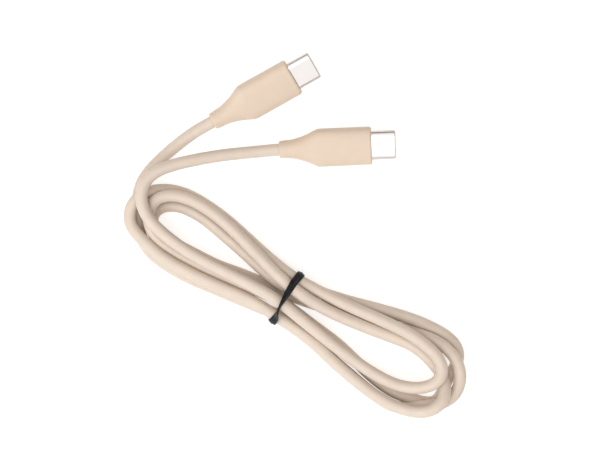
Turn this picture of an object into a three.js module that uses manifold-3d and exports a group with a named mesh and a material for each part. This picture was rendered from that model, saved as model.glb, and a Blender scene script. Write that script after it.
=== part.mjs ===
// A USB-C to USB-C charging cable, about one metre long, folded into a hank and held by a twist tie.
// Millimetres, +Z up. The cable lies on the plane z = 0, and the origin is the middle of its footprint.
// The places below are measured from a spot near that middle, and the last step moves the whole to it.
import * as THREE from "three";
import { mergeVertices } from "three/addons/utils/BufferGeometryUtils.js";
import Module from "manifold-3d";

const wasm = await Module();
wasm.setup();

// ---- driving dimensions ----

const CORD_RADIUS = 1.75; // round TPE jacket, 3.5 mm across
const CORD_SOLID_RADIUS = 1.7; // corners of the eight-sided cord solid, so that strands side by side stay apart
const SWING_GAP = 0.8; // clear length at the spot where a lead swings
const BEND_GAP = 0.6; // clear length behind a collar, where a plug bends

// The middle of the footprint, as the places below are measured.
const FOOTPRINT_MIDDLE = [0.254, -0.15];

// Stations of a plug, measured along its axis from the end of the collar to the tip of the shell.
const SHOULDER = 11.4;
const BOOT_END = 26.5;
const SHELL_START = 17.4;
const SHELL_TIP = 33.35;
const JACKET_CUT = 10.4; // where the jacket ends, inside the collar
const CRIMP_RING = [9.0, 10.8];
const CRIMP_ROOM = [8.7, SHOULDER];
const WIRE_STATIONS = [10.7, 12.8, 14.6]; // where a conductor leaves the jacket, bends, and meets its pad
const BOARD_ROOM = [11.2, 25.0];
const SHIELD = [SHOULDER, 17.1];
const BOARD = [13.0, 21.0];
const CHIP = [15.3, 16.8];
const CONTACTS = [18.1, 31.8];
const CONTACT_BAR = [20.4, 20.9];
const SLEEVE = [21.3, SHELL_TIP - 0.6];
const LATCH_PLATE = [21.3, 26.2];
const LATCH_ARM = [25.9, 31.5];
const LATCH_HOOK = [30.9, 31.5];

// The plug shell and what is inside it, across (Y) and up (Z), as half sizes.
const SHELL_HALF_WIDTH = 4.125;
const SHELL_HALF_HEIGHT = 1.2;
const SHELL_WALL = 0.3;
const SHELL_FIT = 0.15; // gap between the shell and the boot
const SLEEVE_HALF_SIZES = [3.75, 0.83];
const TONGUE_SLOT_HALF_SIZES = [3.3, 0.6];
const CONTACT_COUNT = 12;
const CONTACT_PITCH = 0.5;
const CONTACT_WIDTH = 0.25;
const CONTACT_THICKNESS = 0.14;
const CONTACT_BAR_HALF_WIDTH = 2.9;
const PLATE_HALF_SIZES = [3.2, 0.1];
const ARM_WIDTH = 0.25;
const HOOK_REACH = [2.7, 3.0];
const BOARD_HALF_SIZES = [3.2, 0.3];
const BOARD_ROOM_HALF_SIZES = [4.3, 2];
const CHIP_HALF_WIDTH = 1;
const CHIP_TOP = 0.9;
const SHIELD_HALF_SIZES = [4.1, 1.85];
const SHIELD_WALL = 0.2;
const WIRE_RADIUS = 0.33;
const WIRE_CIRCLE = 0.95; // radius of the circle the conductors lie on inside the cord
const CRIMP_RADIUS = 2.15;
const CLEARANCE = 0.07; // between a part and what it is soldered or fitted to
const CORD_FIT = 0.2; // between the cord and the collar's bore

// The outside of the boot: [station, half width, half height, squareness of the section].
const BOOT_SECTIONS = [
  [0.0, 2.2, 2.2, 2.0],
  [0.35, 2.48, 2.48, 2.0],
  [3.5, 2.73, 2.52, 2.0],
  [6.0, 3.33, 2.58, 2.2],
  [8.4, 4.2, 2.7, 2.5],
  [10.2, 5.03, 2.83, 2.9],
  [11.2, 5.4, 2.9, 3.2],
  [12.2, 5.46, 2.92, 3.3],
  [18.0, 5.42, 2.92, 3.4],
  [25.85, 5.4, 2.92, 3.4],
  [26.3, 5.25, 2.77, 3.4],
  [BOOT_END, 4.9, 2.42, 3.4],
];
const BOOT_SIDES = 28;

// Where each plug lies: the middle of its collar's end, its heading, its rise and its roll, in degrees.
const PLUG_A = { collar: [-23.4, 32.65, 3.4], heading: 28.8, rise: 6, roll: 22 };
const PLUG_B = { collar: [-4.4, 24.6, 3.8], heading: 2.5, rise: 2, roll: 14 };

// The twist tie, in the plane that crosses the bundle at TIE_CENTRE.
const TIE_CENTRE = [-2.3, -17.8];
const TIE_HEADING = -32.1; // direction of the bundle through the tie, in degrees
const TIE_WIDTH = 2.3;
const TIE_WIRE_WIDTH = 0.45;
const TIE_INNER_FILM = [0.2, 0.34]; // clearances from the strands: its inside and its outside
const TIE_WIRE = [0.4, 0.74];
const TIE_OUTER_FILM = [0.8, 0.94];
const TIE_ROOM_MARGIN = 0.7; // clear of the hank beyond each edge of the tie
const TIE_TAIL_LENGTH = 11;
const TIE_TAIL_TURNS = 2;
const TIE_TAIL_PLACE = [3.9, 1.15]; // place across the bundle, height
const TIE_TAIL_HALF_SIZES = [1.05, 0.6];
// The strands inside the tie: [place across the bundle, height].
const TIE_STRANDS = [
  [-5.7, 5.55],
  [-3.8, 2.75],
  [-1.9, 9.15],
  [-1.85, 5.7],
  [0.2, 2.7],
  [2.2, 5.1],
  [3.45, 8.75],
  [5.75, 5.95],
];

// The hank: the outline of the folded turns, and the eye that is left open in each end.
const HANK_HEIGHT = [0.1, 10.8];
const HANK_EDGE = 1.5; // rounding of its edges
const HANK_OUTLINE = [
  [-43.5, 12.7], [-46.4, 11.6], [-48.6, 8.6], [-48.8, 3.6], [-46.6, -1.8], [-38.4, -9.0], [-26.8, -15.5],
  [-10.6, -22.2], [-5.4, -24.6], [-0.6, -28.0], [10.0, -37.4], [20.6, -46.8], [28.0, -50.8], [35.4, -52.3],
  [42.0, -51.0], [47.2, -46.8], [49.4, -41.6], [49.0, -35.0], [47.0, -30.0], [39.0, -24.2], [27.1, -20.1],
  [15.8, -17.2], [6.4, -13.8], [0.7, -10.9], [-12.7, 0.7], [-24.1, 10.0], [-31.6, 13.9], [-37.4, 14.6],
  [-40.6, 13.0],
];
const HANK_EYES = [
  [
    [-37.6, 4.6], [-35.3, 6.5], [-32.3, 6.1], [-27.3, 3.5], [-21.6, -1.1], [-16.4, -6.0], [-12.4, -10.4],
    [-16.8, -8.8], [-21.2, -6.8], [-26.6, -4.0], [-32.1, -0.9], [-36.4, 2.2],
  ],
  [
    [38.4, -40.0], [37.0, -36.8], [33.0, -33.3], [27.3, -30.7], [21.6, -28.5], [14.6, -26.2], [7.8, -23.4],
    [13.2, -29.6], [18.3, -34.8], [24.0, -38.8], [29.7, -41.4], [35.0, -42.2],
  ],
];

// The free leads: the middle line of the cord between the hank and each plug's collar.
const LEAD_A_ROUTE = [
  [-44.4, 14.3, 1.8], [-42.2, 18.0, 1.8], [-38.3, 22.1, 1.8], [-33.4, 26.3, 2.1], [-28.5, 29.8, 2.8],
  [-23.4, 32.65, 3.4],
];
const LEAD_B_ROUTE = [
  [-43.2, 13.7, 9.0], [-42.0, 15.9, 8.9], [-40.0, 17.8, 8.7], [-35.3, 19.8, 7.9], [-28.0, 21.6, 6.6],
  [-20.7, 22.9, 5.2], [-12.6, 23.8, 4.1], [-4.4, 24.6, 3.8],
];

// ---- materials ----

function finish(color, roughness, metalness = 0) {
  return new THREE.MeshStandardMaterial({ color, roughness, metalness });
}
const JACKET = finish(0xe6d2bf, 0.6);
const BOOT_PLASTIC = finish(0xe3cdb6, 0.5);
const PLATED_STEEL = finish(0xe8e2da, 0.25, 1);
const BLACK_PLASTIC = finish(0x1d2025, 0.5);
const GOLD = finish(0xd9b45a, 0.3, 1);
const BOARD_GREEN = finish(0x1f6b45, 0.5);
const TINNED = finish(0xbfc2c4, 0.35, 1);
const WIRE_COLOURS = { red: 0xb02a26, black: 0x202020, white: 0xe8e8e4, green: 0x2c7d46, blue: 0x2a4f9c };

// ---- small tools ----

function mesh(name, geometry, material) {
  const piece = new THREE.Mesh(geometry, material);
  piece.name = name;
  return piece;
}

function solidOf(geometry) {
  const bare = geometry.index ? geometry.toNonIndexed() : geometry.clone();
  bare.deleteAttribute("normal");
  bare.deleteAttribute("uv");
  const merged = mergeVertices(bare, 1e-4);
  return new wasm.Manifold(
    new wasm.Mesh({
      numProp: 3,
      vertProperties: Float32Array.from(merged.attributes.position.array),
      triVerts: Uint32Array.from(merged.index.array),
    }),
  );
}

function geometryOf(solid) {
  const result = solid.getMesh();
  const geometry = new THREE.BufferGeometry();
  geometry.setAttribute("position", new THREE.BufferAttribute(result.vertProperties, 3));
  geometry.setIndex(new THREE.BufferAttribute(result.triVerts, 1));
  return geometry;
}

// From one side of the plug's axis to the other.
function bothSides(half) {
  return [-half, half];
}

// A box between two stations, from low to high across (Y) and up (Z).
function block(x, y, z) {
  const box = new THREE.BoxGeometry(x[1] - x[0], y[1] - y[0], z[1] - z[0]);
  return box.translate((x[0] + x[1]) / 2, (y[0] + y[1]) / 2, (z[0] + z[1]) / 2);
}

// A flat shape, drawn across (Y) and up (Z), carried along the plug's axis between two stations.
function alongAxis(shape, from, to) {
  const geometry = new THREE.ExtrudeGeometry(shape, { depth: to - from, bevelEnabled: false, curveSegments: 6 });
  const turn = new THREE.Matrix4().makeBasis(
    new THREE.Vector3(0, 1, 0),
    new THREE.Vector3(0, 0, 1),
    new THREE.Vector3(1, 0, 0),
  );
  return geometry.applyMatrix4(turn).translate(from, 0, 0);
}

function circle(radius) {
  return new THREE.Shape().absarc(0, 0, radius, 0, 2 * Math.PI);
}

// An outline with straight long sides and round ends.
function stadium(halfWidth, halfHeight) {
  const reach = halfWidth - halfHeight;
  const shape = new THREE.Shape();
  shape.absarc(reach, 0, halfHeight, -Math.PI / 2, Math.PI / 2);
  shape.absarc(-reach, 0, halfHeight, Math.PI / 2, (3 * Math.PI) / 2);
  shape.closePath();
  return shape;
}

// A closed body through rings of points, with a fan over each end.
function loft(rings) {
  const sides = rings[0].length;
  const points = rings.flat();
  const ends = [rings[0], rings.at(-1)].map((ring) => {
    points.push(ring.reduce((sum, p) => sum.add(p), new THREE.Vector3()).divideScalar(sides));
    return points.length - 1;
  });
  const faces = [];
  for (let k = 0; k < sides; k++) {
    const next = (k + 1) % sides;
    for (let ring = 0; ring < rings.length - 1; ring++) {
      const low = ring * sides;
      const high = low + sides;
      faces.push(low + k, low + next, high + next, low + k, high + next, high + k);
    }
    const last = (rings.length - 1) * sides;
    faces.push(ends[0], next, k, ends[1], last + k, last + next);
  }
  const geometry = new THREE.BufferGeometry().setFromPoints(points);
  geometry.setIndex(faces);
  return geometry;
}

// A round solid of a few sides along a curve.
function tube(curve, radius, sides, steps) {
  const section = new THREE.Shape();
  for (let k = 0; k < sides; k++) {
    const angle = (2 * Math.PI * (k + 0.5)) / sides;
    const point = [radius * Math.cos(angle), radius * Math.sin(angle)];
    if (k === 0) section.moveTo(...point);
    else section.lineTo(...point);
  }
  section.closePath();
  return new THREE.ExtrudeGeometry(section, { steps, extrudePath: curve });
}

// ---- the cord ----

// A stretch of cord along a route, cut back by a gap at each end.
function lead(name, route) {
  const points = route.map((p) => new THREE.Vector3(...p));
  const cutBack = (end, inner, gap) => end.add(inner.clone().sub(end).setLength(gap));
  cutBack(points[0], points[1], SWING_GAP / 2);
  cutBack(points.at(-1), points.at(-2), BEND_GAP);
  return mesh(name, tube(new THREE.CatmullRomCurve3(points), CORD_SOLID_RADIUS, 8, route.length), JACKET);
}

// A closed outline that runs smoothly through a few places.
function smoothOutline(places) {
  const curve = new THREE.CatmullRomCurve3(places.map(([x, y]) => new THREE.Vector3(x, y, 0)), true);
  return curve.getPoints(2 * places.length).slice(0, -1).map(({ x, y }) => new THREE.Vector2(x, y));
}

// The outer shape of the folded cord, pinched in where the tie holds it.
function hank() {
  const shape = new THREE.Shape(smoothOutline(HANK_OUTLINE));
  shape.holes.push(...HANK_EYES.map((eye) => new THREE.Path(smoothOutline(eye))));
  const [bottom, top] = HANK_HEIGHT;
  const folded = new THREE.ExtrudeGeometry(shape, {
    depth: top - bottom - 2 * HANK_EDGE,
    bevelThickness: HANK_EDGE,
    bevelSize: HANK_EDGE,
    bevelOffset: -HANK_EDGE,
    bevelSegments: 2,
  });
  folded.translate(0, 0, bottom + HANK_EDGE);
  return mesh("cord_hank", geometryOf(solidOf(folded).subtract(tieRoom())), JACKET);
}

// ---- a plug, along +X from the end of its collar ----

function bootRing([station, halfWidth, halfHeight, squareness]) {
  const ring = [];
  for (let k = 0; k < BOOT_SIDES; k++) {
    const angle = (2 * Math.PI * k) / BOOT_SIDES;
    const across = Math.sign(Math.cos(angle)) * Math.abs(Math.cos(angle)) ** (2 / squareness);
    const up = Math.sign(Math.sin(angle)) * Math.abs(Math.sin(angle)) ** (2 / squareness);
    ring.push(new THREE.Vector3(station, halfWidth * across, halfHeight * up));
  }
  return ring;
}

// The overmoulded boot: a neck that clips the cord, and a box around the board and the shell's root.
function boot() {
  const outside = solidOf(loft(BOOT_SECTIONS.map(bootRing)));
  const cordHole = solidOf(alongAxis(circle(CORD_RADIUS + CORD_FIT), -1, SHOULDER));
  const crimpRoom = solidOf(alongAxis(circle(CRIMP_RADIUS + SHELL_FIT), ...CRIMP_ROOM));
  const boardRoom = solidOf(block(BOARD_ROOM, ...BOARD_ROOM_HALF_SIZES.map(bothSides)));
  const hole = stadium(SHELL_HALF_WIDTH + SHELL_FIT, SHELL_HALF_HEIGHT + SHELL_FIT);
  const shellHole = solidOf(alongAxis(hole, SHELL_START, BOOT_END + 1));
  return geometryOf(outside.subtract(cordHole).subtract(crimpRoom).subtract(boardRoom).subtract(shellHole));
}

function shell() {
  const shape = stadium(SHELL_HALF_WIDTH, SHELL_HALF_HEIGHT);
  shape.holes.push(stadium(SHELL_HALF_WIDTH - SHELL_WALL, SHELL_HALF_HEIGHT - SHELL_WALL));
  return alongAxis(shape, SHELL_START, SHELL_TIP);
}

// The plastic sleeve that carries the contacts, around the slot for the socket's tongue.
function sleeve() {
  const body = solidOf(alongAxis(stadium(...SLEEVE_HALF_SIZES), ...SLEEVE));
  const [start, end] = SLEEVE;
  const slot = solidOf(block([start - 1, end + 1], ...TONGUE_SLOT_HALF_SIZES.map(bothSides)));
  return geometryOf(body.subtract(slot));
}

// One row of contacts. A thin bar at the root holds them, where the sleeve's moulding would.
function contactRow(side) {
  const low = BOARD_HALF_SIZES[1] + CLEARANCE;
  const height = [side * low, side * (low + CONTACT_THICKNESS)].sort((p, q) => p - q);
  let row = solidOf(block(CONTACT_BAR, bothSides(CONTACT_BAR_HALF_WIDTH), height));
  for (let k = 0; k < CONTACT_COUNT; k++) {
    const middle = (k - (CONTACT_COUNT - 1) / 2) * CONTACT_PITCH;
    const across = [middle - CONTACT_WIDTH / 2, middle + CONTACT_WIDTH / 2];
    row = row.add(solidOf(block(CONTACTS, across, height)));
  }
  return geometryOf(row);
}

// The middle plate between the rows, whose two side arms snap into the socket.
function latchPlate() {
  const [halfWidth, halfThickness] = PLATE_HALF_SIZES;
  const height = bothSides(halfThickness);
  let plate = solidOf(block(LATCH_PLATE, bothSides(halfWidth), height));
  for (const side of [-1, 1]) {
    const arm = [side * (halfWidth - ARM_WIDTH), side * halfWidth].sort((p, q) => p - q);
    const hook = HOOK_REACH.map((reach) => side * reach).sort((p, q) => p - q);
    plate = plate.add(solidOf(block(LATCH_ARM, arm, height)));
    plate = plate.add(solidOf(block(LATCH_HOOK, hook, height)));
  }
  return geometryOf(plate);
}

// Half of the folded shield over the board, open towards the board.
function shieldHalf(side) {
  const [outer, top] = SHIELD_HALF_SIZES;
  const inner = outer - SHIELD_WALL;
  const under = top - SHIELD_WALL;
  const corners = [
    [-outer, CLEARANCE], [-outer, top], [outer, top], [outer, CLEARANCE],
    [inner, CLEARANCE], [inner, under], [-inner, under], [-inner, CLEARANCE],
  ];
  const shape = new THREE.Shape(corners.map(([across, up]) => new THREE.Vector2(across, side * up)));
  return alongAxis(shape, ...SHIELD);
}

function crimpRing() {
  const shape = circle(CRIMP_RADIUS);
  shape.holes.push(circle(CORD_RADIUS + CORD_FIT / 2));
  return alongAxis(shape, ...CRIMP_RING);
}

// One insulated conductor, from the cut jacket to its pad on the board.
function conductor(place, pad, side) {
  const angle = Math.PI / 2 + (place * 2 * Math.PI) / 5;
  const height = side * (BOARD_HALF_SIZES[1] + CLEARANCE + WIRE_RADIUS);
  const [leave, bend, meet] = WIRE_STATIONS;
  const points = [
    new THREE.Vector3(leave, WIRE_CIRCLE * Math.cos(angle), WIRE_CIRCLE * Math.sin(angle)),
    new THREE.Vector3(bend, pad * 0.95, height),
    new THREE.Vector3(meet, pad, height),
  ];
  return tube(new THREE.CatmullRomCurve3(points), WIRE_RADIUS, 6, 6);
}

const CONDUCTORS = [
  { colour: "red", place: 0, pad: 0, side: 1 },
  { colour: "white", place: 1, pad: -1.6, side: 1 },
  { colour: "green", place: 4, pad: 1.6, side: 1 },
  { colour: "black", place: 2, pad: -1.2, side: -1 },
  { colour: "blue", place: 3, pad: 1.2, side: -1 },
];

function plug(letter, { collar, heading, rise, roll }) {
  const group = new THREE.Group();
  const add = (name, geometry, material) => group.add(mesh(`${name}_${letter}`, geometry, material));
  add("boot", boot(), BOOT_PLASTIC);
  add("jacket_end", alongAxis(circle(CORD_SOLID_RADIUS), 0, JACKET_CUT), JACKET);
  add("crimp_ring", crimpRing(), TINNED);
  for (const { colour, place, pad, side } of CONDUCTORS) {
    add(`conductor_${colour}`, conductor(place, pad, side), finish(WIRE_COLOURS[colour], 0.5));
  }
  add("circuit_board", block(BOARD, ...BOARD_HALF_SIZES.map(bothSides)), BOARD_GREEN);
  const chipHeight = [BOARD_HALF_SIZES[1] + CLEARANCE, CHIP_TOP];
  add("marker_chip", block(CHIP, bothSides(CHIP_HALF_WIDTH), chipHeight), BLACK_PLASTIC);
  add("shield_upper", shieldHalf(1), TINNED);
  add("shield_lower", shieldHalf(-1), TINNED);
  add("contacts_upper", contactRow(1), GOLD);
  add("contacts_lower", contactRow(-1), GOLD);
  add("latch_plate", latchPlate(), TINNED);
  add("contact_sleeve", sleeve(), BLACK_PLASTIC);
  add("shell", shell(), PLATED_STEEL);
  const degree = Math.PI / 180;
  group.position.set(...collar);
  group.rotation.set(roll * degree, -rise * degree, heading * degree, "ZYX");
  return group;
}

// ---- the twist tie ----

// The tight outline round the strands in the tie, grown by a clearance: the convex hull of their circles.
function bundleOutline(clearance) {
  const points = [];
  for (const [across, height] of TIE_STRANDS) {
    for (let k = 0; k < 20; k++) {
      const angle = (2 * Math.PI * k) / 20;
      const reach = CORD_RADIUS + clearance;
      points.push(new THREE.Vector2(across + reach * Math.cos(angle), height + reach * Math.sin(angle)));
    }
  }
  points.sort((p, q) => p.x - q.x || p.y - q.y);
  const turn = (o, p, q) => (p.x - o.x) * (q.y - o.y) - (p.y - o.y) * (q.x - o.x);
  const chain = (list) => {
    const kept = [];
    for (const p of list) {
      while (kept.length > 1 && turn(kept.at(-2), kept.at(-1), p) <= 1e-6) kept.pop();
      kept.push(p);
    }
    return kept.slice(0, -1);
  };
  return [...chain(points), ...chain(points.toReversed())];
}

// The bundle's cross-section carried along it, centred on the tie's plane.
function alongBundle(shape, length) {
  return new THREE.ExtrudeGeometry(shape, { depth: length, bevelEnabled: false }).translate(0, 0, -length / 2);
}

// A band round the bundle between two clearances.
function band([inner, outer], width) {
  const shape = new THREE.Shape(bundleOutline(outer));
  shape.holes.push(new THREE.Path(bundleOutline(inner)));
  return alongBundle(shape, width);
}

// The two ends of the tie, twisted together and folded back under the bundle.
function twistedTails() {
  const steps = 16;
  const rings = [];
  for (let step = 0; step <= steps; step++) {
    const along = -TIE_WIDTH / 2 - 0.2 - (TIE_TAIL_LENGTH * step) / steps;
    const turn = (step / steps) * TIE_TAIL_TURNS * 2 * Math.PI;
    const ring = [];
    for (let k = 0; k < 8; k++) {
      const angle = (2 * Math.PI * k) / 8;
      const wide = TIE_TAIL_HALF_SIZES[0] * Math.cos(angle);
      const thin = TIE_TAIL_HALF_SIZES[1] * Math.sin(angle);
      const across = TIE_TAIL_PLACE[0] + wide * Math.cos(turn) - thin * Math.sin(turn);
      const height = TIE_TAIL_PLACE[1] + wide * Math.sin(turn) + thin * Math.cos(turn);
      ring.push(new THREE.Vector3(across, height, along));
    }
    rings.push(ring);
  }
  return loft(rings.toReversed());
}

// Where the tie sits: X across the bundle, Y up and Z along the bundle.
function tiePlace() {
  const heading = (TIE_HEADING * Math.PI) / 180;
  const along = new THREE.Vector3(Math.cos(heading), Math.sin(heading), 0);
  const up = new THREE.Vector3(0, 0, 1);
  const across = new THREE.Vector3().crossVectors(up, along);
  return new THREE.Matrix4().makeBasis(across, up, along).setPosition(TIE_CENTRE[0], TIE_CENTRE[1], 0);
}

function twistTie() {
  const group = new THREE.Group();
  group.add(mesh("tie_inner_film", band(TIE_INNER_FILM, TIE_WIDTH), BLACK_PLASTIC));
  group.add(mesh("tie_wire", band(TIE_WIRE, TIE_WIRE_WIDTH), TINNED));
  group.add(mesh("tie_outer_film", band(TIE_OUTER_FILM, TIE_WIDTH), BLACK_PLASTIC));
  group.add(mesh("tie_twisted_tails", twistedTails(), BLACK_PLASTIC));
  group.applyMatrix4(tiePlace());
  return group;
}

// What the tie takes out of the hank: all that lies outside the strands there, and a groove for its tails.
function tieRoom() {
  const length = TIE_WIDTH + 2 * TIE_ROOM_MARGIN;
  const around = solidOf(block([-14, 14], [-2, 14], [-length / 2, length / 2]));
  const strands = solidOf(alongBundle(new THREE.Shape(bundleOutline(-0.1)), length + 1));
  const [across, height] = TIE_TAIL_PLACE;
  const groove = solidOf(block([across - 1.5, across + 1.5], [-2, height + 1.5], [-TIE_TAIL_LENGTH - 2, 0]));
  return around.subtract(strands).add(groove).transform(tiePlace().elements);
}

// ---- the whole cable ----

const cable = new THREE.Group();
cable.add(hank(), lead("cord_lead_a", LEAD_A_ROUTE), lead("cord_lead_b", LEAD_B_ROUTE));
cable.add(plug("a", PLUG_A), plug("b", PLUG_B), twistTie());
cable.position.set(-FOOTPRINT_MIDDLE[0], -FOOTPRINT_MIDDLE[1], 0);

export default cable;
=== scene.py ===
"""A USB-C charging cable, folded into a hank and held by a twist tie, for Blender 4.5.

Metres, +Z up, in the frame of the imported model. The cord is one smooth line from plug B through the hank to
plug A, cut into five tubes where the joints are. Each plug is drawn along +X from the end of its collar, and
the tie across, above and along the bundle.
"""

import math

import bpy
import numpy as np
from mathutils import Euler, Matrix, Vector


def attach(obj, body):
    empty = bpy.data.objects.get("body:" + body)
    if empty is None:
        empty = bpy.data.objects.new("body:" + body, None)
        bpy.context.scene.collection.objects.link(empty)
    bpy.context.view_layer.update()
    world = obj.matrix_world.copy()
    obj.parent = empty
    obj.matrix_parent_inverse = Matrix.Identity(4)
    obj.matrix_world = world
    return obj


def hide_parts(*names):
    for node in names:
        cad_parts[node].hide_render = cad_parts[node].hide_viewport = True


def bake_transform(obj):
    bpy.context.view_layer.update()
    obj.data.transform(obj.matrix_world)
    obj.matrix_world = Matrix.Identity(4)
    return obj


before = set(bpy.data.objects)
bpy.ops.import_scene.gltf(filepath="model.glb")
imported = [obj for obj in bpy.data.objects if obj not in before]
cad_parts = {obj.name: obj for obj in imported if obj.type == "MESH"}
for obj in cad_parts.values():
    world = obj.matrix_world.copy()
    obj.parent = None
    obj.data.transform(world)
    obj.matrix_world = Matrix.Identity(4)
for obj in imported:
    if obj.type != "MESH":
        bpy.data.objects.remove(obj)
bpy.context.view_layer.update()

MM = 0.001

# ---- driving dimensions ----

# The middle of the footprint, as the places below are measured.
FOOTPRINT_MIDDLE = np.array([0.254, -0.15, 0.0]) * MM

CORD_DIAMETER = 3.5 * MM
CORD_RADIUS = CORD_DIAMETER / 2
CORD_STEP = 0.8 * MM  # length of one step of the drawn cord
CORD_SIDES = 36
CORD_SMOOTHING = 2  # steps over which its route is eased
END_SHARE = 0.02  # distance of the extra ring beside a flat end, as a share of a step
BLEND_REACH = 7 * MM  # a lead's tube runs this far into the hank past where the lead meets it
BLEND_SPARE = 2  # steps of a lead's tube beyond that length
NECK_LENGTH = 7 * MM  # length of cord behind a collar, drawn as a tube of its own
NECK_INSIDE = 2 * MM  # length of cord inside the collar

# How strands that overlap press each other apart.
SETTLE_ROUNDS = 40
SETTLE_SHARE = 0.5  # share of an overlap that each round takes up
SETTLE_SPREAD = 3  # steps along the cord over which a push is spread
SETTLE_REACH = 3 * CORD_DIAMETER  # places nearer than this along the cord don't press each other

# Where each plug lies: the middle of its collar's end in millimetres, its heading, rise and roll in degrees.
PLUGS = {
    "a": {"collar": (-23.4, 32.65, 3.4), "heading": 28.8, "rise": 6.0, "roll": 22.0},
    "b": {"collar": (-4.4, 24.6, 3.8), "heading": 2.5, "rise": 2.0, "roll": 14.0},
}

# Routes of the cord's middle line. The leads are the part's own, from the hank to each collar.
LEAD_A_ROUTE = [
    (-0.0444, 0.0143, 0.0018), (-0.0422, 0.0180, 0.0018), (-0.0383, 0.0221, 0.0018),
    (-0.0334, 0.0263, 0.0021), (-0.0285, 0.0298, 0.0028), (-0.0234, 0.03265, 0.0034),
]
LEAD_B_ROUTE = [
    (-0.0432, 0.0137, 0.0090), (-0.0420, 0.0159, 0.0089), (-0.0400, 0.0178, 0.0087),
    (-0.0353, 0.0198, 0.0079), (-0.0280, 0.0216, 0.0066), (-0.0207, 0.0229, 0.0052),
    (-0.0126, 0.0238, 0.0041), (-0.0044, 0.0246, 0.0038),
]
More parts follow.
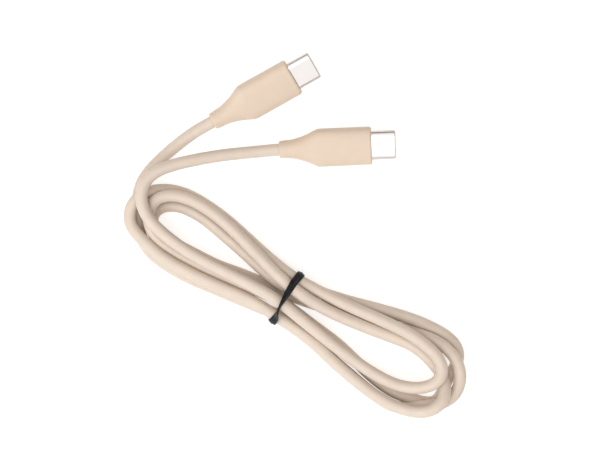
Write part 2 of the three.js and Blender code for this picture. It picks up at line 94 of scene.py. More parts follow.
# The turns of the hank, three and a half laps, from lead B to lead A.
HANK_ROUTE = [
    # from lead B over the far end of the hank and down the near side, on top of the pile
    (-0.0435, 0.0112, 0.0090),
    (-0.0430, 0.0080, 0.0089), (-0.0413, 0.0048, 0.0088), (-0.0386, 0.0018, 0.0086),
    (-0.0335, -0.0024, 0.0083), (-0.0278, -0.0060, 0.0081), (-0.0218, -0.0092, 0.0081),
    (-0.0147, -0.0127, 0.0084), (-0.0086, -0.0160, 0.0089), (-0.0043, -0.0187, 0.0092),
    # first turn, the inner one, at the right end
    (0.0016, -0.0234, 0.0084), (0.0067, -0.0276, 0.0072), (0.0116, -0.0316, 0.0061),
    (0.0173, -0.0359, 0.0055), (0.0232, -0.0398, 0.0054), (0.0293, -0.0427, 0.0056),
    (0.0351, -0.0435, 0.0068), (0.0390, -0.0426, 0.0081), (0.0413, -0.0408, 0.0087),
    (0.0422, -0.0386, 0.0088), (0.0417, -0.0360, 0.0088), (0.0396, -0.0332, 0.0084),
    (0.0357, -0.0300, 0.0075), (0.0316, -0.0274, 0.0066), (0.0270, -0.0252, 0.0058),
    (0.0218, -0.0229, 0.0054), (0.0165, -0.0207, 0.0052), (0.0110, -0.0182, 0.0053),
    (0.0052, -0.0153, 0.0058), (-0.0003, -0.0123, 0.0059),
    # second turn, the outer one, at the left end
    (-0.0054, -0.0083, 0.0052), (-0.0096, -0.0046, 0.0042), (-0.0139, -0.0006, 0.0029),
    (-0.0195, 0.0044, 0.0020), (-0.0251, 0.0085, 0.0018), (-0.0306, 0.0116, 0.0018),
    (-0.0350, 0.0129, 0.0021), (-0.0390, 0.0130, 0.0032), (-0.0425, 0.0121, 0.0050),
    (-0.0453, 0.0102, 0.0054), (-0.0467, 0.0075, 0.0052), (-0.0469, 0.0046, 0.0049),
    (-0.0457, 0.0021, 0.0051), (-0.0432, -0.0002, 0.0053), (-0.0404, -0.0027, 0.0054),
    (-0.0362, -0.0058, 0.0054), (-0.0308, -0.0089, 0.0054), (-0.0253, -0.0117, 0.0054),
    (-0.0197, -0.0143, 0.0053), (-0.0142, -0.0168, 0.0053), (-0.0093, -0.0197, 0.0054),
    # third turn, at the right end
    (-0.0044, -0.0231, 0.0056), (0.0006, -0.0266, 0.0054), (0.0062, -0.0312, 0.0053),
    (0.0112, -0.0360, 0.0052), (0.0166, -0.0407, 0.0052), (0.0220, -0.0449, 0.0052),
    (0.0281, -0.0484, 0.0056), (0.0352, -0.0500, 0.0078), (0.0396, -0.0491, 0.0089),
    (0.0420, -0.0469, 0.0088), (0.0429, -0.0442, 0.0076), (0.0426, -0.0412, 0.0058),
    (0.0411, -0.0383, 0.0051), (0.0386, -0.0354, 0.0048), (0.0341, -0.0316, 0.0045),
    (0.0280, -0.0291, 0.0045), (0.0222, -0.0269, 0.0047), (0.0165, -0.0246, 0.0052),
    (0.0106, -0.0219, 0.0062), (0.0047, -0.0186, 0.0076), (0.0000, -0.0153, 0.0087),
    # fourth turn, at the left end
    (-0.0041, -0.0119, 0.0087), (-0.0085, -0.0075, 0.0080), (-0.0128, -0.0031, 0.0070),
    (-0.0173, 0.0014, 0.0061), (-0.0231, 0.0063, 0.0054), (-0.0283, 0.0096, 0.0052),
    (-0.0340, 0.0115, 0.0053), (-0.0382, 0.0112, 0.0056), (-0.0409, 0.0093, 0.0055),
    (-0.0418, 0.0061, 0.0052), (-0.0415, 0.0029, 0.0048), (-0.0400, 0.0001, 0.0044),
    (-0.0373, -0.0025, 0.0037), (-0.0319, -0.0058, 0.0035), (-0.0262, -0.0087, 0.0035),
    (-0.0205, -0.0115, 0.0036), (-0.0150, -0.0140, 0.0041), (-0.0093, -0.0163, 0.0050),
    (-0.0045, -0.0186, 0.0058),
    # fifth turn, at the right end
    (0.0014, -0.0229, 0.0046), (0.0071, -0.0273, 0.0028), (0.0121, -0.0311, 0.0019),
    (0.0178, -0.0366, 0.0018), (0.0232, -0.0419, 0.0018), (0.0284, -0.0457, 0.0018),
    (0.0338, -0.0479, 0.0018), (0.0375, -0.0488, 0.0018), (0.0403, -0.0485, 0.0018),
    (0.0419, -0.0468, 0.0018), (0.0427, -0.0445, 0.0018), (0.0436, -0.0419, 0.0018),
    (0.0450, -0.0398, 0.0018), (0.0465, -0.0375, 0.0018), (0.0473, -0.0341, 0.0018),
    (0.0460, -0.0311, 0.0018), (0.0431, -0.0286, 0.0018), (0.0380, -0.0258, 0.0018),
    (0.0323, -0.0236, 0.0018), (0.0266, -0.0219, 0.0018), (0.0211, -0.0204, 0.0018),
    (0.0154, -0.0189, 0.0018), (0.0090, -0.0169, 0.0018), (0.0036, -0.0151, 0.0026),
    # sixth turn, the inner one, at the left end
    (-0.0022, -0.0148, 0.0052), (-0.0082, -0.0105, 0.0047), (-0.0144, -0.0049, 0.0035),
    (-0.0204, 0.0002, 0.0026), (-0.0262, 0.0049, 0.0020), (-0.0318, 0.0078, 0.0018),
    (-0.0357, 0.0085, 0.0018), (-0.0391, 0.0076, 0.0018), (-0.0411, 0.0054, 0.0018),
    (-0.0412, 0.0025, 0.0018), (-0.0396, -0.0001, 0.0018), (-0.0370, -0.0021, 0.0018),
    (-0.0338, -0.0040, 0.0018), (-0.0282, -0.0070, 0.0018), (-0.0226, -0.0097, 0.0018),
    (-0.0166, -0.0115, 0.0018), (-0.0100, -0.0138, 0.0020), (-0.0037, -0.0163, 0.0024),
    # last turn, the outer one, at the right end
    (0.0016, -0.0182, 0.0020), (0.0076, -0.0202, 0.0018), (0.0140, -0.0221, 0.0018),
    (0.0199, -0.0239, 0.0018), (0.0256, -0.0254, 0.0018), (0.0310, -0.0269, 0.0022),
    (0.0356, -0.0283, 0.0032), (0.0389, -0.0295, 0.0043), (0.0418, -0.0310, 0.0052),
    (0.0446, -0.0333, 0.0055), (0.0466, -0.0363, 0.0054), (0.0475, -0.0393, 0.0050),
    (0.0473, -0.0423, 0.0048), (0.0463, -0.0449, 0.0048), (0.0445, -0.0466, 0.0048),
    (0.0421, -0.0477, 0.0052), (0.0397, -0.0482, 0.0054), (0.0372, -0.0481, 0.0053),
    (0.0330, -0.0490, 0.0030), (0.0280, -0.0484, 0.0018), (0.0220, -0.0447, 0.0018),
    (0.0166, -0.0404, 0.0018), (0.0111, -0.0358, 0.0018), (0.0060, -0.0311, 0.0018),
    (0.0006, -0.0259, 0.0020),
    # back along the near side, at the bottom of the pile, to where lead A comes out
    (-0.0044, -0.0231, 0.0018), (-0.0091, -0.0211, 0.0018), (-0.0141, -0.0190, 0.0018),
    (-0.0194, -0.0168, 0.0018), (-0.0246, -0.0146, 0.0018), (-0.0298, -0.0124, 0.0018),
    (-0.0347, -0.0098, 0.0018), (-0.0397, -0.0064, 0.0018), (-0.0430, -0.0028, 0.0018),
    (-0.0446, 0.0007, 0.0018), (-0.0452, 0.0042, 0.0018), (-0.0454, 0.0077, 0.0018),
    (-0.0450, 0.0111, 0.0018),
]

# The boot's outside: (station, half width, half height, squareness) in millimetres from the collar's end.
BOOT_SECTIONS = [
    (0.0, 2.2, 2.2, 2.0), (0.1, 2.38, 2.38, 2.0), (0.35, 2.48, 2.48, 2.0), (3.5, 2.73, 2.52, 2.0),
    (6.0, 3.33, 2.58, 2.2), (8.4, 4.2, 2.7, 2.5), (10.2, 5.03, 2.83, 2.9), (11.2, 5.4, 2.9, 3.2),
    (12.2, 5.46, 2.92, 3.3), (18.0, 5.42, 2.92, 3.4), (26.5, 5.4, 2.92, 3.4),
]
BOOT_SIDES = 96
BOOT_STEP = 0.25
COLLAR_EDGE = 0.8  # the even steps start beyond the collar's rounded edge
SHOULDER_ROW = 7  # the row where the boot comes to its full width
FRONT_ROUNDING = 0.65
ROUNDING_STEPS = 9  # rings round the boot's front edge and round the shell's tip
MOUTH_DEPTH = 0.15  # how deep the chamfer round the shell is, and how wide it opens
MOUTH_OPENING = 0.2
# The boot's inside, from the mouth to the collar: (station, half width, half height), then (station, radius).
BOOT_CAVITY = [(17.3, 4.4, 2.1), (11.6, 4.4, 2.1), (11.3, 2.2, 2.1)]
CAVITY_SQUARENESS = 4
COLLAR_BORE = [(8.0, 1.77), (0.1, 1.77), (0.0, 1.87)]
PARTING_RIDGE = 0.025  # height of the moulding's parting line, along each side of the boot
PARTING_WIDTH = 0.06  # from the line to where the side is plain again

# The metal shell, in millimetres from the collar's end.
SHELL_HALF_WIDTH = 4.125
SHELL_HALF_HEIGHT = 1.2
SHELL_WALL = 0.3
SHELL_START = 17.4
SHELL_MIDDLE = (22.0, 27.0)  # rings between its root and its tip
SHELL_TIP = 33.35
SHELL_FIT = 0.06  # gap between the shell and the boot's mouth
LIP_RING = 1.0  # a ring this far back from the tip keeps the sides straight
LIP_LENGTH = 0.4  # length over which the tip turns in, and how far it turns in across and up
LIP_ACROSS = 0.5
LIP_UP = 0.34
LIP_EDGE = 0.15  # thickness of the turned edge, and how much wider the opening is behind it
LIP_WIDENING = 0.03
LIP_ROOT = 0.6  # where the inside is straight again, back from the tip

# The twist tie, in the plane that crosses the bundle at TIE_CENTRE.
TIE_CENTRE = (-2.3, -17.8)
TIE_HEADING = -32.1
TIE_HALF_WIDTH = 1.15
TIE_FILM = 0.24  # half thickness of the ribbon beside its wire
TIE_WIRE = 0.16  # how far the wire lifts each face of the ribbon
TIE_WIRE_REACH = 0.3  # how far to each side of the wire the lift fades
TIE_EDGE = 3  # squareness of the ribbon's edges
# The points drawn across half of the ribbon, as shares of its half width.
TIE_SHARES = [1.0, 0.97, 0.85, 0.65, 0.45, 0.32, 0.22, 0.12, 0.0]
TIE_CLEARANCE = 0.3  # from the strands, beside and below the bundle
TIE_SMOOTHING = 5  # steps over which the ribbon's path and its twist are eased
TIE_FACING = 8  # steps over which the way that the ribbon faces is eased
TIE_STEPS = 360
TIE_REACH = 12  # strands that cross the plane farther out than this don't pass through the tie
# How the ribbon runs over the top of the bundle, from its far side to its near side, in millimetres and
# degrees: (place across, drift along the bundle, twist, clearance above the strands).
TIE_RUN = [
    (8.4, 0.0, 0.0, 0.5), (6.6, -0.3, 8.0, 0.45), (4.7, -0.6, 22.0, 0.5), (1.1, -0.54, 40.0, 0.75),
    (-1.4, -0.45, 62.0, 1.1), (-3.3, -0.3, 86.0, 1.0), (-4.4, 0.15, 118.0, 0.9), (-5.6, 0.4, 148.0, 0.7),
    (-7.2, 0.3, 172.0, 0.6), (-8.4, 0.0, 180.0, 0.7),
]
TAIL_PLACE = (3.9, 1.15)  # place across the bundle and height
TAIL_LENGTH = 11.0
TAIL_TURNS = 5
TAIL_START = -1.2
TAIL_STEPS = 120
TAIL_SIDES = 32
TAIL_CORE = 0.42  # half width where the two ends meet, and how far each bulges beyond it
TAIL_LOBE = 0.5
TAIL_ROUNDNESS = 1.5  # how narrow each bulge is
STRAND_SIDES = 72  # points round each strand that the tie is drawn tight on

# The camera looks straight down.
CAMERA_PLACE = np.array([1.57, 3.0, 481.3]) * MM - FOOTPRINT_MIDDLE
LENS = 100.0  # millimetres, as the sensor's width is
SENSOR_WIDTH = 36.0

# The soft light from all round: the direction that it is brightest from, and its colour from the opposite
# direction (0), where it is warmer, to that one (1). Between two heights, given as sines, it rises from the
# horizon's strength to its own.
SKY_MIDDLE = Vector((-0.35, -0.5, 0.79)).normalized()
SKY_STEPS = [
    (0.0, (0.24, 0.19, 0.15)), (0.5, (0.37, 0.31, 0.26)), (0.72, (0.84, 0.8, 0.76)),
    (0.85, (0.98, 0.97, 0.96)), (1.0, (0.98, 0.97, 0.96)),
]
SKY_STRENGTH = 1.17
SKY_HORIZON = 0.15
SKY_RISE = (0.05, 0.42)

# The soft box, in metres and watts, and half the side of the floor.
KEY_PLACE = (-0.36, -0.29, 0.75)
KEY_SIZE = 0.8
KEY_POWER = 3.6
FLOOR_HALF_SIDE = 4.0


# ---- camera ----


def add_camera():
    data = bpy.data.cameras.new("camera")
    data.lens = LENS
    data.sensor_width = SENSOR_WIDTH
    data.clip_end = 10
    camera = bpy.data.objects.new("camera", data)
    camera.location = CAMERA_PLACE
    bpy.context.scene.collection.objects.link(camera)
    bpy.context.scene.camera = camera


# ---- lines and meshes ----


def smooth_through(points, step):
    """A centripetal Catmull-Rom curve through the points, in steps of about that length."""
    points = [2 * points[0] - points[1], *points, 2 * points[-1] - points[-2]]
    line = []
    for before, start, end, after in zip(points, points[1:], points[2:], points[3:]):
        spans = [math.sqrt(np.linalg.norm(q - p)) for p, q in ((before, start), (start, end), (end, after))]
        turn = (end - start) / spans[1]
        leave = ((start - before) / spans[0] - (end - before) / (spans[0] + spans[1]) + turn) * spans[1]
        arrive = (turn - (after - start) / (spans[1] + spans[2]) + (after - end) / spans[2]) * spans[1]
        for t in np.arange(0, 1, 1 / max(2, round(np.linalg.norm(end - start) / step))):
            line.append(
                (2 * t**3 - 3 * t**2 + 1) * start
                + (t**3 - 2 * t**2 + t) * leave
                + (3 * t**2 - 2 * t**3) * end
                + (t**3 - t**2) * arrive
            )
    return np.array([*line, points[-2]])


def lengths_along(line):
    return np.concatenate([[0], np.cumsum(np.linalg.norm(np.diff(line, axis=0), axis=1))])


def even_steps(line, step):
    """The same line with its points the same distance apart."""
    along = lengths_along(line)
    places = np.linspace(0, along[-1], round(along[-1] / step) + 1)
    return np.stack([np.interp(places, along, line[:, axis]) for axis in range(3)], axis=1)


def blurred(values, reach):
    """Values averaged along the line with a bell curve that many steps wide; the ends stay."""
    offsets = np.arange(-3 * reach, 3 * reach + 1)
    weights = np.exp(-0.5 * (offsets / reach) ** 2)
    weights /= weights.sum()
    padded = np.concatenate([
        2 * values[0] - values[3 * reach : 0 : -1],
        values,
        2 * values[-1] - values[-2 : -3 * reach - 2 : -1],
    ])
    return np.stack([np.convolve(padded[:, axis], weights, "valid") for axis in range(3)], axis=1)


def settled(line):
    """The line after its strands have pressed each other apart where they overlapped, above the floor."""
    index = np.arange(len(line))
    apart = np.abs(index[:, None] - index) * CORD_STEP > SETTLE_REACH
    moved = np.zeros_like(line)
    for _ in range(SETTLE_ROUNDS):
        now = line + moved
        between = now[:, None] - now
        distance = np.linalg.norm(between, axis=2)
        overlap = np.where(apart & (distance < CORD_DIAMETER), CORD_DIAMETER - distance, 0)
        push = (between * (overlap / np.maximum(distance, 1e-6))[..., None]).sum(axis=1)
        count = np.maximum((overlap > 0).sum(axis=1), 1)
        moved = blurred(moved + SETTLE_SHARE * push / count[:, None], SETTLE_SPREAD)
        moved[:, 2] = np.maximum(moved[:, 2], CORD_RADIUS - line[:, 2])
        moved[[0, -1]] = 0
    return line + moved


def mesh_object(name, vertices, faces, material, flat_faces=()):
    mesh = bpy.data.meshes.new(name)
    mesh.from_pydata([tuple(v) for v in vertices], [], faces)
    mesh.materials.append(material)
    for polygon in mesh.polygons:
        polygon.use_smooth = polygon.index not in flat_faces
    mesh.validate()
    obj = bpy.data.objects.new(name, mesh)
    bpy.context.scene.collection.objects.link(obj)
    return obj


def lofted(name, rings, material, closed=False):
    """A surface through rings of points. It closes on its first ring, or else a flat face closes each end.

    A ring close beside each flat end keeps the smooth shading of the sides right up to it."""
    if not closed:
        beside_start = rings[0] + END_SHARE * (rings[1] - rings[0])
        beside_end = rings[-1] + END_SHARE * (rings[-2] - rings[-1])
        rings = [rings[0], beside_start, *rings[1:-1], beside_end, rings[-1]]
    count = len(rings)
    sides = len(rings[0])
    faces = []
    for low in range(count if closed else count - 1):
        high = (low + 1) % count
        for k in range(sides):
            following = (k + 1) % sides
            corners = ((low, k), (low, following), (high, following), (high, k))
            faces.append(tuple(ring * sides + corner for ring, corner in corners))
    caps = set()
    if not closed:
        caps = {len(faces), len(faces) + 1}
        faces.append(tuple(range(sides - 1, -1, -1)))
        faces.append(tuple((count - 1) * sides + k for k in range(sides)))
    return mesh_object(name, np.concatenate(rings), faces, material, caps)


def ring_frames(line):
    """At each point of a line, two directions across it that turn as little as they can."""
    directions = np.gradient(line, axis=0)
    directions /= np.linalg.norm(directions, axis=1)[:, None]
    side = np.cross(directions[0], (0.0, 0.0, 1.0))
    frames = []
    for direction in directions:
        side = side - direction * (side @ direction)
        side /= np.linalg.norm(side)
        frames.append((side, np.cross(direction, side)))
    return frames


def round_rings(line, radius, sides):
    """The outline of a round cord at each point of its middle line."""
    angles = np.arange(sides) * 2 * math.pi / sides
    around = np.stack([np.cos(angles), np.sin(angles)], axis=1) * radius
    return [
        point + around[:, :1] * side + around[:, 1:] * other
        for point, (side, other) in zip(line, ring_frames(line))
    ]


# ---- materials ----

NOISE_MIDDLE = (0.3, 0.7)  # most of a noise lies between these


def noise_texture(tree, scale, detail):
    """Noise through the object's own space, with features about 1/scale metres across."""
    place = tree.nodes.new("ShaderNodeTexCoord")
    texture = tree.nodes.new("ShaderNodeTexNoise")
    texture.inputs["Scale"].default_value = scale
    texture.inputs["Detail"].default_value = detail
    tree.links.new(place.outputs["Object"], texture.inputs["Vector"])
    return texture.outputs["Fac"]


def spread(tree, factor, low, high):
    """Maps the middle of a noise, where most of it lies, onto low to high."""
    node = tree.nodes.new("ShaderNodeMapRange")
    node.inputs["From Min"].default_value = NOISE_MIDDLE[0]
    node.inputs["From Max"].default_value = NOISE_MIDDLE[1]
    node.inputs["To Min"].default_value = low
    node.inputs["To Max"].default_value = high
    tree.links.new(factor, node.inputs["Value"])
    return node.outputs["Result"]


def two_tones(tree, factor, first, second):
    """A colour that goes from the first tone to the second over the middle of a noise."""
    ramp = tree.nodes.new("ShaderNodeValToRGB")
    for element, position, tone in zip(ramp.color_ramp.elements, NOISE_MIDDLE, (first, second)):
        element.position = position
        element.color = (*tone, 1)
    tree.links.new(factor, ramp.inputs["Fac"])
    return ramp.outputs["Color"]


def surface(name, tones, roughness, mottle=300, grain=9000, bump=4e-6, **sockets):
    """A finish with a faint mottle between two tones and a fine grain, which the roughness wanders with.

    roughness is its low and high; bump is the height of the grain in metres."""
    made = bpy.data.materials.new(name)
    made.use_nodes = True
    tree = made.node_tree
    shader = tree.nodes["Principled BSDF"]
    wide = noise_texture(tree, mottle, 3)
    fine = noise_texture(tree, grain, 2)
    tree.links.new(two_tones(tree, wide, *tones), shader.inputs["Base Color"])
    tree.links.new(spread(tree, fine, *roughness), shader.inputs["Roughness"])
    relief = tree.nodes.new("ShaderNodeBump")
    relief.inputs["Strength"].default_value = 1.0
    relief.inputs["Distance"].default_value = bump
    tree.links.new(fine, relief.inputs["Height"])
    tree.links.new(relief.outputs["Normal"], shader.inputs["Normal"])
    for socket, value in sockets.items():
        shader.inputs[socket].default_value = value
    return made


# Light goes a little way into the soft plastics, red the deepest.
SOFT_LIGHT = {
    "Subsurface Weight": 0.25,
    "Subsurface Radius": (1.0, 0.45, 0.25),
    "Subsurface Scale": 0.0012,
}
JACKET = surface("jacket", [(0.635, 0.548, 0.468), (0.665, 0.573, 0.488)], (0.5, 0.62), **SOFT_LIGHT)
BOOT_PLASTIC = surface(
    "boot_plastic", [(0.64, 0.525, 0.42), (0.66, 0.54, 0.43)], (0.42, 0.5), bump=3e-6, **SOFT_LIGHT
)
PLATED = surface(
    "plated_steel", [(0.79, 0.755, 0.735), (0.82, 0.785, 0.76)], (0.12, 0.18), bump=4e-7, Metallic=1.0,
    **{"Specular Tint": (0.12, 0.11, 0.11, 1)}
)
SLEEVE_PLASTIC = surface("sleeve_plastic", [(0.012, 0.012, 0.013), (0.02, 0.02, 0.022)], (0.4, 0.5))
GOLD = surface("gold_plate", [(0.83, 0.6, 0.22), (0.88, 0.66, 0.28)], (0.18, 0.26), bump=6e-7, Metallic=1.0)
TINNED = surface("tin_plate", [(0.6, 0.6, 0.6), (0.68, 0.68, 0.67)], (0.3, 0.42), bump=1e-6, Metallic=1.0)
BOARD = surface("board", [(0.015, 0.11, 0.05), (0.02, 0.14, 0.07)], (0.3, 0.4))
CHIP = surface("chip", [(0.012, 0.012, 0.012), (0.02, 0.02, 0.02)], (0.5, 0.6))
TIE_PLASTIC = surface(
    "tie_film", [(0.006, 0.007, 0.010), (0.011, 0.012, 0.016)], (0.32, 0.45), mottle=900, grain=3500,
    bump=2e-5, **{"Specular IOR Level": 0.22}
)
WIRE_TONES = {
    "red": (0.35, 0.02, 0.015),
    "white": (0.75, 0.75, 0.72),
    "green": (0.02, 0.17, 0.05),
    "black": (0.01, 0.01, 0.01),
    "blue": (0.02, 0.05, 0.25),
}
WIRE_SHADE = 0.85  # the second tone of a conductor, as a share of its first
WIRES = {
    colour: surface(f"wire_{colour}", [tone, tuple(WIRE_SHADE * part for part in tone)], (0.35, 0.45))
    for colour, tone in WIRE_TONES.items()
}


# ---- the cord ----


def in_model(points):
    """Points of a route, moved to the model's own frame."""
    return [np.array(point) - FOOTPRINT_MIDDLE for point in points]


def nearest(line, place):
    return int(np.argmin(np.linalg.norm(line - place, axis=1)))


def add_cords():
    """The whole cord from plug B to plug A, cut at the joints. Returns its middle line."""
    lead_b = in_model(LEAD_B_ROUTE)
    lead_a = in_model(LEAD_A_ROUTE)
    inside = [plug_matrix(letter) @ Vector((NECK_INSIDE, 0, 0)) for letter in "ba"]
    route = [np.array(inside[0]), *lead_b[::-1], *in_model(HANK_ROUTE), *lead_a, np.array(inside[1])]
    line = even_steps(blurred(smooth_through(route, CORD_STEP), CORD_SMOOTHING), CORD_STEP)
    line = even_steps(settled(line), CORD_STEP)

    reach = round(BLEND_REACH / CORD_STEP)
    neck = round((NECK_LENGTH + NECK_INSIDE) / CORD_STEP)
    swing_b = nearest(line, lead_b[0])
    swing_a = nearest(line, lead_a[0])
    last = len(line) - 1
    cut = reach + BLEND_SPARE
    marks = [0, neck, swing_b + cut, swing_a - cut, last - neck, last]
    names = ["cord_neck_b", "cord_at_lead_b", "cord_turns", "cord_at_lead_a", "cord_neck_a"]
    rings = round_rings(line, CORD_RADIUS, CORD_SIDES)
    pieces = {}
    for name, start, end in zip(names, marks, marks[1:]):
        pieces[name] = lofted(name, rings[start : end + 1], JACKET)

    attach(pieces["cord_turns"], "hank")
    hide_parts("cord_hank")
    for letter, swing, toward_lead in (("a", swing_a, 1), ("b", swing_b, -1)):
        lead = pieces[f"cord_at_lead_{letter}"]
        start = line[swing - toward_lead * reach]
        end = line[swing + toward_lead * reach]
        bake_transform(lead)
        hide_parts(f"cord_lead_{letter}")
        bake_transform(pieces[f"cord_neck_{letter}"])

    return line


# ---- the plugs ----


def plug_matrix(letter):
    """Takes plug space, +X from the collar's end towards the tip, to the model's frame in metres."""
    plug = PLUGS[letter]
    turn = Euler(
        (math.radians(plug["roll"]), -math.radians(plug["rise"]), math.radians(plug["heading"])), "XYZ"
    ).to_matrix().to_4x4()
    place = Vector(np.array(plug["collar"]) * MM - FOOTPRINT_MIDDLE)
    return Matrix.Translation(place) @ turn


def in_plug(letter, rings):
    """Rings drawn in millimetres in plug space, moved to where the plug lies."""
    matrix = np.array(plug_matrix(letter))
    return [np.asarray(ring) * MM @ matrix[:3, :3].T + matrix[:3, 3] for ring in rings]


def between_rows(rows, station):
    """A row of a table at a station, along a smooth curve that never passes its rows."""
    table = np.array(rows)
    stations = table[:, 0]
    steps = np.diff(stations)
    slopes = np.diff(table, axis=0) / steps[:, None]
    tangents = np.zeros_like(table)
    for k in range(1, len(rows) - 1):
        same_way = slopes[k - 1] * slopes[k] > 0
        total = np.where(same_way, slopes[k - 1] + slopes[k], 1)
        tangents[k] = np.where(same_way, 2 * slopes[k - 1] * slopes[k] / total, 0)
    tangents[0] = slopes[0]
    tangents[-1] = slopes[-1]
    k = int(np.clip(np.searchsorted(stations, station) - 1, 0, len(rows) - 2))
    t = (station - stations[k]) / steps[k]
    return (
        (2 * t**3 - 3 * t**2 + 1) * table[k]
        + (t**3 - 2 * t**2 + t) * steps[k] * tangents[k]
        + (3 * t**2 - 2 * t**3) * table[k + 1]
        + (t**3 - t**2) * steps[k] * tangents[k + 1]
    )


def boot_angles():
    """Even steps round the boot, with three more on the parting line along each side."""
    ridge = PARTING_WIDTH / BOOT_SECTIONS[SHOULDER_ROW][2]
    even = [2 * math.pi * (k + 0.5) / BOOT_SIDES for k in range(BOOT_SIDES)]
    extra = [side + offset for side in (0, math.pi) for offset in (-ridge, 0, ridge)]
    return sorted(angle % (2 * math.pi) for angle in even + extra)


def squarish(angle, half_width, half_height, squareness):
    """A point of an oval with flattened sides, across and up."""
    power = 2 / squareness
    across = math.copysign(abs(math.cos(angle)) ** power, math.cos(angle))
    up = math.copysign(abs(math.sin(angle)) ** power, math.sin(angle))
    return half_width * across, half_height * up


def boot_ring(row):
    station, half_width, half_height, squareness = row
    ring = []
    for angle in boot_angles():
        across, up = squarish(angle, half_width, half_height, squareness)
        if abs(math.sin(angle)) < 1e-6:
            across += math.copysign(PARTING_RIDGE, across)
        ring.append((station, across, up))
    return ring


def round_sided(angle, half_width, half_height):
    """A point of an outline with straight long sides and round ends, in the direction of an angle."""
    reach = half_width - half_height
    across, up = math.cos(angle), math.sin(angle)
    if abs(up) * reach >= abs(across) * half_height:
        return half_height * across / abs(up), math.copysign(half_height, up)
    side = math.copysign(reach, across)
    along = across * side
    out = along + math.sqrt(along**2 - reach**2 + half_height**2)
    return out * across, out * up


def boot_rings():
    """The outside from the collar to the mouth, then the inside back to the collar."""
    front, half_width, half_height, squareness = BOOT_SECTIONS[-1]
    plain = np.arange(COLLAR_EDGE, front - FRONT_ROUNDING, BOOT_STEP)
    stations = sorted({*plain, *(row[0] for row in BOOT_SECTIONS[:-1])})
    rings = [boot_ring(between_rows(BOOT_SECTIONS, station)) for station in stations]
    for turn in np.linspace(0, math.pi / 2, ROUNDING_STEPS):
        back = FRONT_ROUNDING * (1 - math.sin(turn))
        inset = FRONT_ROUNDING * (1 - math.cos(turn))
        rings.append(boot_ring((front - back, half_width - inset, half_height - inset, squareness)))
    mouth = [(front, MOUTH_OPENING), (front - MOUTH_DEPTH, SHELL_FIT), (SHELL_START, SHELL_FIT)]
    for station, wider in mouth:
        rings.append([
            (station, *round_sided(angle, SHELL_HALF_WIDTH + wider, SHELL_HALF_HEIGHT + wider))
            for angle in boot_angles()
        ])
    for station, *half_sizes in BOOT_CAVITY:
        rings.append([(station, *squarish(angle, *half_sizes, CAVITY_SQUARENESS)) for angle in boot_angles()])
    for station, radius in COLLAR_BORE:
        rings.append([
            (station, radius * math.cos(angle), radius * math.sin(angle))
            for angle in boot_angles()
        ])
    return rings


def shell_rings():
    """The outside from the root to the rounded tip, then the inside back to the root."""
    angles = [2 * math.pi * (k + 0.5) / BOOT_SIDES for k in range(BOOT_SIDES)]
    outline = [(station, 0.0, 0.0) for station in (SHELL_START, *SHELL_MIDDLE, SHELL_TIP - LIP_RING)]
    for turn in np.linspace(0, math.pi / 2, ROUNDING_STEPS):
        share = 1 - math.cos(turn)
        outline.append((SHELL_TIP - LIP_LENGTH * (1 - math.sin(turn)), LIP_ACROSS * share, LIP_UP * share))
    outline.append((SHELL_TIP - LIP_EDGE, LIP_ACROSS + LIP_WIDENING, LIP_UP + LIP_WIDENING))
    for station in (SHELL_TIP - LIP_ROOT, SHELL_MIDDLE[-1], SHELL_START):
        outline.append((station, SHELL_WALL, SHELL_WALL))
    rings = []
    for station, across, up in outline:
        rings.append([
            (station, *round_sided(angle, SHELL_HALF_WIDTH - across, SHELL_HALF_HEIGHT - up))
            for angle in angles
        ])
    return rings


NODE_FINISHES = {
    "jacket_end": JACKET,
    "crimp_ring": TINNED,
    "circuit_board": BOARD,
    "marker_chip": CHIP,
    "shield_upper": TINNED,
    "shield_lower": TINNED,
    "contacts_upper": GOLD,
    "contacts_lower": GOLD,
    "latch_plate": TINNED,
    "contact_sleeve": SLEEVE_PLASTIC,
    **{f"conductor_{colour}": finish for colour, finish in WIRES.items()},
}


def add_plug(letter):
    body = f"plug_{letter}"
    boot = lofted(f"plug_boot_{letter}", in_plug(letter, boot_rings()), BOOT_PLASTIC, closed=True)
    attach(boot, body)
    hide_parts(f"boot_{letter}")
    shell = lofted(f"plug_shell_{letter}", in_plug(letter, shell_rings()), PLATED, closed=True)
    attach(shell, body)
    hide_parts(f"shell_{letter}")
    for node, finish in NODE_FINISHES.items():
        paint(f"{node}_{letter}", finish)


def paint(node, finish):
    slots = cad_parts[node].data.materials
    slots.clear()
    slots.append(finish)


# ---- the twist tie ----


def tie_matrix():
    """Takes tie space (across the bundle, up, along it) to the model's frame in metres."""
    heading = math.radians(TIE_HEADING)
    along = Vector((math.cos(heading), math.sin(heading), 0))
    up = Vector((0, 0, 1))
    across = up.cross(along)
    place = Vector((*TIE_CENTRE, 0)) * MM - Vector(FOOTPRINT_MIDDLE)
    return Matrix.Translation(place) @ Matrix((across, up, along)).transposed().to_4x4()


def strands_in_tie(line):
    """Where the cord crosses the tie's plane: (place across, height) of each strand, in millimetres."""
    into_tie = np.array(tie_matrix().inverted())
    local = (line @ into_tie[:3, :3].T + into_tie[:3, 3]) / MM
    found = []
    for start, end in zip(local, local[1:]):
        if start[2] * end[2] <= 0 and abs(start[0]) < TIE_REACH:
            share = start[2] / (start[2] - end[2])
            found.append((start + share * (end - start))[:2])
    return found


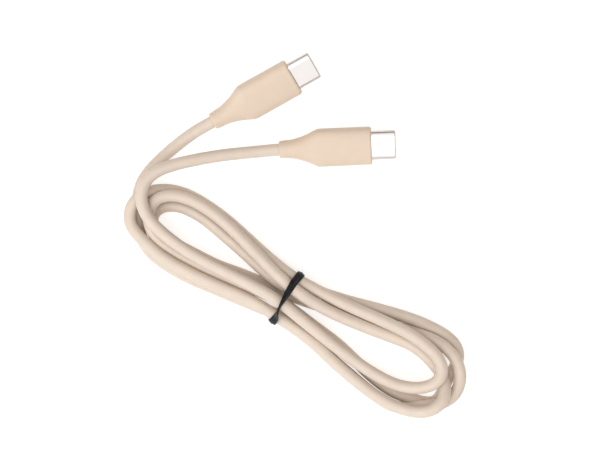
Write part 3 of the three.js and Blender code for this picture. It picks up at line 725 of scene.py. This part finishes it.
def wrapped_outline(strands):
    """The path of a string pulled tight round the strands, in even steps."""
    radius = CORD_RADIUS / MM
    points = []
    for strand in strands:
        for k in range(STRAND_SIDES):
            angle = 2 * math.pi * k / STRAND_SIDES
            points.append((strand[0] + radius * math.cos(angle), strand[1] + radius * math.sin(angle)))
    hull = convex_hull(points)
    closed = np.array([*hull, hull[0]])
    along = np.concatenate([[0], np.cumsum(np.linalg.norm(np.diff(closed, axis=0), axis=1))])
    places = np.linspace(0, along[-1], TIE_STEPS, endpoint=False)
    return np.stack([np.interp(places, along, closed[:, axis]) for axis in range(2)], axis=1)


def convex_hull(points):
    """The corners of the tightest outline round some points, counter-clockwise."""
    points = sorted(set(points))

    def chain(ordered):
        kept = []
        for p in ordered:
            while len(kept) > 1 and (
                (kept[-1][0] - kept[-2][0]) * (p[1] - kept[-2][1])
                - (kept[-1][1] - kept[-2][1]) * (p[0] - kept[-2][0])
            ) <= 0:
                kept.pop()
            kept.append(p)
        return kept[:-1]

    return chain(points) + chain(points[::-1])


def ribbon_section():
    """The ribbon cut across: flat films with a wire between them, as (across the ribbon, through it)."""
    top = []
    for share in [*TIE_SHARES, *(-share for share in TIE_SHARES[-2::-1])]:
        width = share * TIE_HALF_WIDTH
        edge = math.sqrt(max(0.0, 1 - abs(share) ** TIE_EDGE))
        lift = TIE_WIRE * math.exp(-((width / TIE_WIRE_REACH) ** 2))
        top.append((width, edge * TIE_FILM + lift))
    bottom = [(width, -height) for width, height in top[-2:0:-1]]
    return top + bottom


def add_tie(line):
    outline = wrapped_outline(strands_in_tie(line))
    middle = outline.mean(axis=0)
    run = np.array(TIE_RUN)[::-1]
    tangents = np.roll(outline, -1, axis=0) - np.roll(outline, 1, axis=0)
    tangents /= np.linalg.norm(tangents, axis=1)[:, None]
    outward = np.stack([tangents[:, 1], -tangents[:, 0]], axis=1)

    # The ribbon starts and ends under the bundle, where its tails are twisted together.
    bottom = outline[:, 1] < middle[1]
    start = int(np.argmin(np.where(bottom, abs(outline[:, 0] - TAIL_PLACE[0]), np.inf)))
    order = [(start + k) % len(outline) for k in range(len(outline) + 1)]

    centre = []
    normals = []
    twists = []
    on_far_side = True
    for k in order:
        across, up = outline[k]
        if up > middle[1] and abs(across) < run[-1][0]:
            drift, twist, clearance = (np.interp(across, run[:, 0], run[:, column]) for column in (1, 2, 3))
            on_far_side = across > 0
        else:
            drift, twist, clearance = 0.0, (0.0 if on_far_side else 180.0), TIE_CLEARANCE
        centre.append((*(outline[k] + clearance * outward[k]), drift))
        normals.append((*outward[k], 0.0))
        twists.append((math.radians(twist), 0.0, 0.0))
    centre = blurred(np.array(centre), TIE_SMOOTHING)
    normals = blurred(np.array(normals), TIE_FACING)
    twists = blurred(np.array(twists), TIE_SMOOTHING)[:, 0]

    section = ribbon_section()
    rings = []
    directions = np.gradient(centre, axis=0)
    for point, direction, normal, twist in zip(centre, directions, normals, twists):
        direction = direction / np.linalg.norm(direction)
        normal = normal - direction * (normal @ direction)
        normal /= np.linalg.norm(normal)
        flat = np.cross(direction, normal)
        wide = flat * math.cos(twist) + normal * math.sin(twist)
        thick = normal * math.cos(twist) - flat * math.sin(twist)
        rings.append([point + across * wide + through * thick for across, through in section])
    ribbon = lofted("tie_ribbon", in_tie(rings), TIE_PLASTIC)
    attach(ribbon, "hank")
    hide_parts("tie_inner_film", "tie_wire", "tie_outer_film")

    tails = lofted("tie_tails", in_tie(tail_rings()), TIE_PLASTIC)
    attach(tails, "hank")
    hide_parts("tie_twisted_tails")


def in_tie(rings):
    matrix = np.array(tie_matrix())
    return [np.asarray(ring) * MM @ matrix[:3, :3].T + matrix[:3, 3] for ring in rings]


def tail_rings():
    """The two ends of the ribbon twisted together: a section with two lobes that turns as it goes."""
    rings = []
    for step in range(TAIL_STEPS + 1):
        share = step / TAIL_STEPS
        turn = share * TAIL_TURNS * 2 * math.pi
        ring = []
        for k in range(TAIL_SIDES):
            angle = -2 * math.pi * k / TAIL_SIDES
            lobe = TAIL_CORE + TAIL_LOBE * abs(math.cos(angle)) ** TAIL_ROUNDNESS
            ring.append((
                TAIL_PLACE[0] + lobe * math.cos(angle + turn),
                TAIL_PLACE[1] + lobe * math.sin(angle + turn),
                TAIL_START - TAIL_LENGTH * share,
            ))
        rings.append(ring)
    return rings


# ---- the studio ----


def add_studio():
    floor_material = surface(
        "floor", [(0.49, 0.49, 0.49), (0.51, 0.51, 0.51)], (0.8, 0.9), mottle=20, grain=2000, bump=1e-6,
        **{"Emission Color": (1, 0.99, 0.98, 1), "Emission Strength": 0.66, "Specular IOR Level": 0.1}
    )
    half = FLOOR_HALF_SIDE
    floor = mesh_object(
        "floor", [(-half, -half, 0), (half, -half, 0), (half, half, 0), (-half, half, 0)], [(0, 1, 2, 3)],
        floor_material,
    )
    add_sky()
    add_light("key", KEY_PLACE, KEY_SIZE, KEY_POWER)
    bpy.context.scene.view_settings.view_transform = "Standard"


def add_sky():
    """Soft light from all round: brightest from above the near left, dimmest from below the far right."""
    world = bpy.data.worlds.new("studio")
    world.use_nodes = True
    tree = world.node_tree
    place = tree.nodes.new("ShaderNodeTexCoord")
    facing = tree.nodes.new("ShaderNodeVectorMath")
    facing.operation = "DOT_PRODUCT"
    facing.inputs[1].default_value = SKY_MIDDLE
    share = tree.nodes.new("ShaderNodeMapRange")
    share.inputs["From Min"].default_value = -1.0
    ramp = tree.nodes.new("ShaderNodeValToRGB")
    ramp.color_ramp.interpolation = "EASE"
    ends = ramp.color_ramp.elements
    while len(ends) < len(SKY_STEPS):
        ends.new(0.5)
    for step, (position, colour) in zip(ends, SKY_STEPS):
        step.position = position
        step.color = (*colour, 1)
    parts = tree.nodes.new("ShaderNodeSeparateXYZ")
    height = tree.nodes.new("ShaderNodeMapRange")
    height.interpolation_type = "SMOOTHSTEP"
    height.inputs["From Min"].default_value = SKY_RISE[0]
    height.inputs["From Max"].default_value = SKY_RISE[1]
    height.inputs["To Min"].default_value = SKY_HORIZON
    height.inputs["To Max"].default_value = SKY_STRENGTH
    background = tree.nodes["Background"]
    tree.links.new(place.outputs["Generated"], facing.inputs[0])
    tree.links.new(facing.outputs["Value"], share.inputs["Value"])
    tree.links.new(share.outputs["Result"], ramp.inputs["Fac"])
    tree.links.new(ramp.outputs["Color"], background.inputs["Color"])
    tree.links.new(place.outputs["Generated"], parts.inputs["Vector"])
    tree.links.new(parts.outputs["Z"], height.inputs["Value"])
    tree.links.new(height.outputs["Result"], background.inputs["Strength"])
    bpy.context.scene.world = world


def add_light(name, place, size, power):
    """A square soft box that faces the object."""
    data = bpy.data.lights.new(name, "AREA")
    data.size = size
    data.energy = power
    light = bpy.data.objects.new(name, data)
    light.location = place
    light.rotation_euler = (-Vector(place)).to_track_quat("-Z", "Y").to_euler()
    bpy.context.scene.collection.objects.link(light)


# ---- the scene ----

add_camera()
for plug_letter in PLUGS:
    add_plug(plug_letter)
cord_line = add_cords()
add_tie(cord_line)
add_studio()
